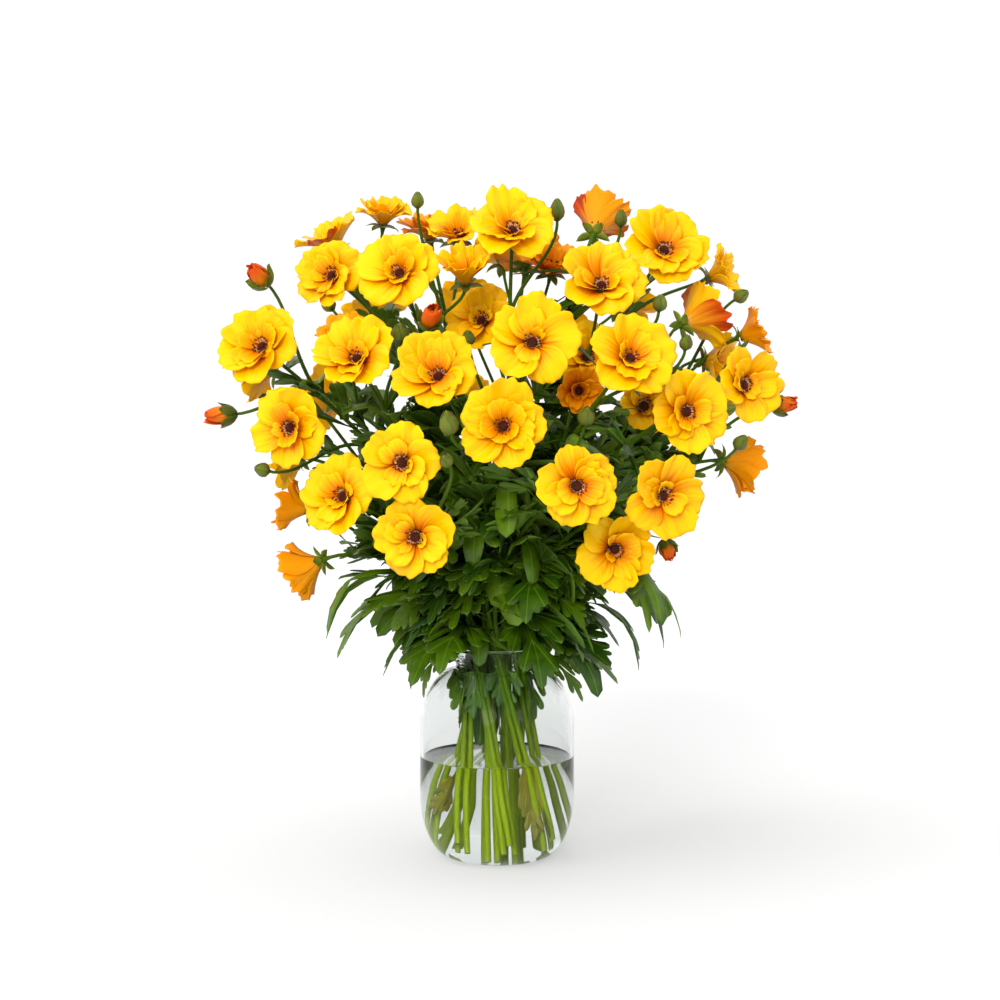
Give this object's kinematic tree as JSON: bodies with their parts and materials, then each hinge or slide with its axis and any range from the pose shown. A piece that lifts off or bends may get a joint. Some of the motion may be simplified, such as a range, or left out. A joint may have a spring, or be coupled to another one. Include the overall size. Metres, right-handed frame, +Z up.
{
  "type": "bouquet of cut ranunculus in a glass jar",
  "caption": "Round bouquet of cut yellow butterfly ranunculus with buds and lobed leaves, its stems standing in water in a clear glass jar with a flared neck.",
  "frame": {"origin": "centre of the jar's flat foot, on the surface it stands on", "axes": "+Z up along the jar's axis, -Y towards the viewer of the picture, +X to that viewer's right"},
  "size_m": [0.5075, 0.4045, 0.5979],
  "materials": {
    "glass": "clear, smooth",
    "water": "clear",
    "green": "dark green, softly glossy",
    "petal": "golden yellow, glossy"
  },
  "bodies": {
    "root": {"jar": "glass", "water": "water", "spray_front": "green", "spray_front_left": "green", "spray_left": "green", "spray_rear_left": "green", "spray_rear_right": "green", "spray_right": "green", "spray_front_right": "green", "spray_top_left": "green", "spray_top_right": "green", "bloom_front_1": "petal", "bloom_front_2": "petal", "bloom_front_3": "petal", "bloom_front_4": "petal", "bloom_front_left_1": "petal", "bloom_front_left_2": "petal", "bloom_front_left_3": "petal", "bloom_front_left_4": "petal", "bloom_front_left_5": "petal", "bloom_left_1": "petal", "bloom_left_2": "petal", "bloom_left_3": "petal", "bloom_left_4": "petal", "bloom_left_5": "petal", "bloom_left_6": "petal", "bloom_rear_left_1": "petal", "bloom_rear_left_2": "petal", "bloom_rear_left_3": "petal", "bloom_rear_left_4": "petal", "bloom_rear_left_5": "petal", "bloom_rear_right_1": "petal", "bloom_rear_right_2": "petal", "bloom_rear_right_3": "petal", "bloom_rear_right_4": "petal", "bloom_rear_right_5": "petal", "bloom_rear_right_6": "petal", "bloom_right_1": "petal", "bloom_right_2": "petal", "bloom_right_3": "petal", "bloom_right_4": "petal", "bloom_right_5": "petal", "bloom_front_right_1": "petal", "bloom_front_right_2": "petal", "bloom_front_right_3": "petal", "bloom_front_right_4": "petal", "bloom_front_right_5": "petal", "bloom_top_left_1": "petal", "bloom_top_left_2": "petal", "bloom_top_left_3": "petal", "bloom_top_left_4": "petal", "bloom_top_left_5": "petal", "bloom_top_left_6": "petal", "bloom_top_right_1": "petal", "bloom_top_right_2": "petal", "bloom_top_right_3": "petal", "bloom_top_right_4": "petal", "bloom_top_right_5": "petal", "bloom_top_right_6": "petal", "bloom_top_right_7": "petal"}
  },
  "joints": []
}
